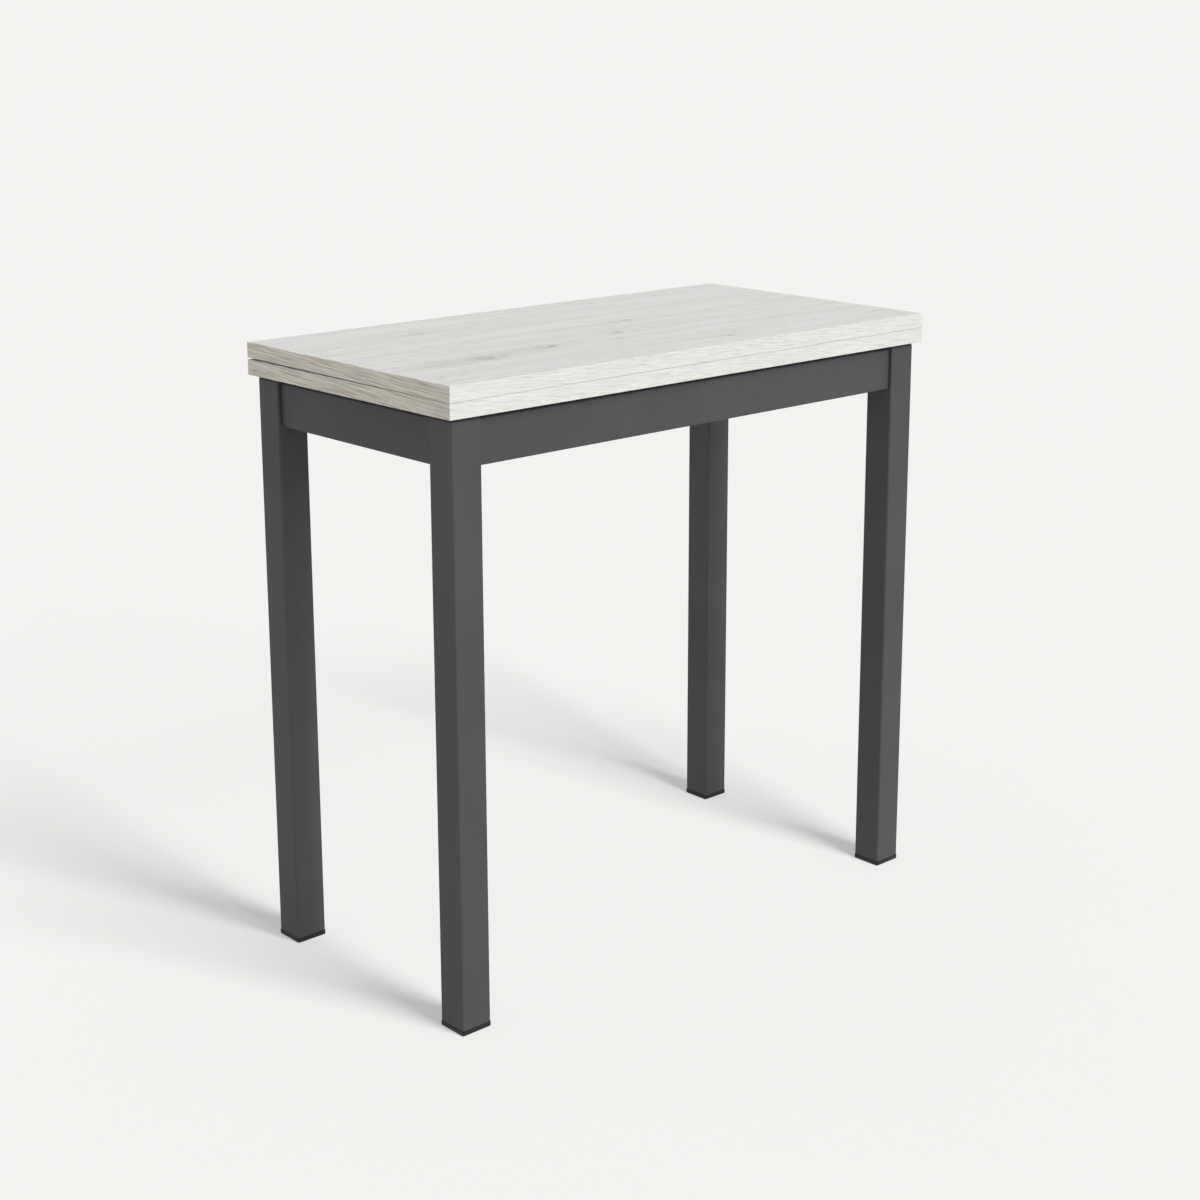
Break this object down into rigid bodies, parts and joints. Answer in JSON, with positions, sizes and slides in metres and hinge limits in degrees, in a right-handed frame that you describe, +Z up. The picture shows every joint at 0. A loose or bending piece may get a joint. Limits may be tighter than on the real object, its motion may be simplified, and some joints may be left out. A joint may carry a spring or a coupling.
{
  "type": "extending table",
  "caption": "Small kitchen table on a square-legged steel frame; its folded oak-look top slides forward and opens out like a book on flush hinges to twice its depth.",
  "frame": {"origin": "on the floor, under the middle of the folded top", "axes": "+X along the long side to the right as seen from the front, +Y to the hinge side at the back, +Z up"},
  "size_m": [0.8, 0.4001, 0.78],
  "materials": {
    "oak_melamine": "matt white-oak melamine on chipboard",
    "oak_edge_band": "printed white-oak edge banding",
    "anthracite_steel": "fine anthracite powder coat",
    "black_plastic": "moulded black polyethylene",
    "black_rubber": "moulded rubber",
    "white_nylon": "natural nylon",
    "zinc_steel": "bright zinc plate"
  },
  "bodies": {
    "frame": {"leg_front_left": "anthracite_steel", "foot_cap_front_left": "black_plastic", "glide_cap_front_left": "black_plastic", "corner_brace_front_left": "zinc_steel", "corner_bolt_front_left": "zinc_steel", "nut_block_front_left": "zinc_steel", "leg_front_right": "anthracite_steel", "foot_cap_front_right": "black_plastic", "glide_cap_front_right": "black_plastic", "corner_brace_front_right": "zinc_steel", "corner_bolt_front_right": "zinc_steel", "nut_block_front_right": "zinc_steel", "leg_back_right": "anthracite_steel", "foot_cap_back_right": "black_plastic", "glide_cap_back_right": "black_plastic", "corner_brace_back_right": "zinc_steel", "corner_bolt_back_right": "zinc_steel", "nut_block_back_right": "zinc_steel", "leg_back_left": "anthracite_steel", "foot_cap_back_left": "black_plastic", "glide_cap_back_left": "black_plastic", "corner_brace_back_left": "zinc_steel", "corner_bolt_back_left": "zinc_steel", "nut_block_back_left": "zinc_steel", "rail_front": "anthracite_steel", "rail_back": "anthracite_steel", "rail_left": "anthracite_steel", "rail_right": "anthracite_steel", "guide_track_left": "zinc_steel", "track_stop_front_left": "black_rubber", "track_stop_back_left": "black_rubber", "guide_track_right": "zinc_steel", "track_stop_front_right": "black_rubber", "track_stop_back_right": "black_rubber"},
    "lower_leaf": {"lower_leaf_board": "oak_melamine", "lower_leaf_band_front": "oak_edge_band", "lower_leaf_band_back": "oak_edge_band", "lower_leaf_band_left": "oak_edge_band", "lower_leaf_band_right": "oak_edge_band", "runner_left": "white_nylon", "runner_plate_left": "zinc_steel", "hinge_plate_lower_left": "zinc_steel", "runner_right": "white_nylon", "runner_plate_right": "zinc_steel", "hinge_plate_lower_right": "zinc_steel"},
    "hinge_links": {"hinge_link_left": "zinc_steel", "hinge_pin_lower_left": "zinc_steel", "hinge_pin_upper_left": "zinc_steel", "hinge_link_right": "zinc_steel", "hinge_pin_lower_right": "zinc_steel", "hinge_pin_upper_right": "zinc_steel"},
    "upper_leaf": {"upper_leaf_board": "oak_melamine", "upper_leaf_band_front": "oak_edge_band", "upper_leaf_band_back": "oak_edge_band", "upper_leaf_band_left": "oak_edge_band", "upper_leaf_band_right": "oak_edge_band", "hinge_plate_upper_left": "zinc_steel", "hinge_plate_upper_right": "zinc_steel"}
  },
  "joints": [
    {"name": "top_slide", "type": "slide", "parent": "frame", "child": "lower_leaf", "axis": [0, -1, 0], "range_m": [0, 0.2]},
    {"name": "link_fold", "type": "hinge", "parent": "lower_leaf", "child": "hinge_links", "pos_m": [0, 0.197, 0.7556], "axis": [-1, 0, 0], "range_deg": [0, 90]},
    {"name": "leaf_fold", "type": "hinge", "parent": "hinge_links", "child": "upper_leaf", "pos_m": [0, 0.197, 0.764], "axis": [-1, 0, 0], "range_deg": [0, 90.3]}
  ]
}
